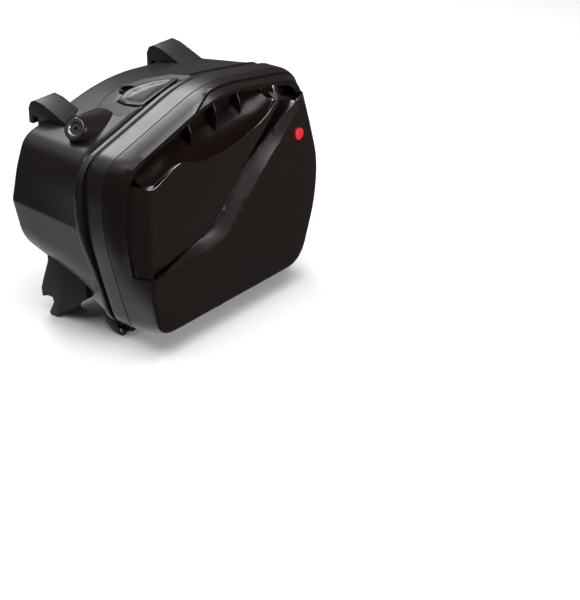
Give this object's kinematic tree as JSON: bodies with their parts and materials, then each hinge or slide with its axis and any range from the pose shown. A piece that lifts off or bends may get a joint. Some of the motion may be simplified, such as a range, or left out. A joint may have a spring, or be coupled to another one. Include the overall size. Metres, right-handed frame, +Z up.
{
  "type": "motorcycle side case",
  "caption": "Hard side case for a motorcycle: deep tapered inner shell with top hooks and a lower claw, and a bottom-hinged outer lid with a scoop, a lever latch and a key lock.",
  "frame": {"origin": "middle of the case's bounding box in plan, on the ground that its hinge feet and lower claw stand on", "axes": "+X towards the front of the motorcycle, +Y in towards the motorcycle, +Z up; the lid faces -Y"},
  "size_m": [0.5154, 0.34, 0.4052],
  "materials": {
    "satin_plastic": "moulded black, satin",
    "cover_plastic": "black, glossy",
    "bracket_plastic": "glass-filled black, matt",
    "rubber": "soft black seal",
    "steel": "zinc-plated",
    "lock_metal": "dark nickel",
    "badge_red": "red enamel"
  },
  "bodies": {
    "case": {"hinge_bracket_front": "bracket_plastic", "hinge_bracket_rear": "bracket_plastic", "hinge_pin_front": "steel", "hinge_pin_rear": "steel", "hook_screw_front": "steel", "hook_screw_rear": "steel", "inner_shell": "satin_plastic", "latch_hook_pin": "steel", "latch_pin": "steel", "latch_well": "bracket_plastic", "lid_seal": "rubber", "lock_boss": "satin_plastic", "lock_sleeve": "lock_metal", "lower_claw": "bracket_plastic", "top_hook_front": "bracket_plastic", "top_hook_rear": "bracket_plastic"},
    "lid": {"lid_frame": "satin_plastic", "lid_shell": "satin_plastic", "scoop_pan": "cover_plastic", "upper_cover": "cover_plastic", "badge": "badge_red", "lid_striker": "steel"},
    "lever": {"latch_lever": "satin_plastic"},
    "hook": {"latch_hook": "steel"},
    "lock_core": {"lock_barrel": "lock_metal", "lock_cam": "steel"}
  },
  "joints": [
    {"name": "lid_open", "type": "hinge", "parent": "case", "child": "lid", "pos_m": [0.00448, -0.041, 0.009], "axis": [1, 0, 0], "range_deg": [0, 85]},
    {"name": "lever_lift", "type": "hinge", "parent": "case", "child": "lever", "pos_m": [-0.03452, -0.015, 0.383], "axis": [0.9822, 0, 0.1881], "range_deg": [0, 30], "stiffness_Nm_per_rad": 0.15, "springref_deg": -17.19},
    {"name": "hook_release", "type": "hinge", "parent": "case", "child": "hook", "pos_m": [-0.02452, -0.025, 0.371], "axis": [1, 0, 0], "range_deg": [-10, 0]},
    {"name": "lock_turn", "type": "hinge", "parent": "case", "child": "lock_core", "pos_m": [-0.19252, 0.028, 0.363], "axis": [-0.8695, -0.1533, 0.4695], "range_deg": [0, 90]}
  ],
  "couplings": [
    {"joint": "hook_release", "follows": "lever_lift", "ratio": -0.3}
  ]
}
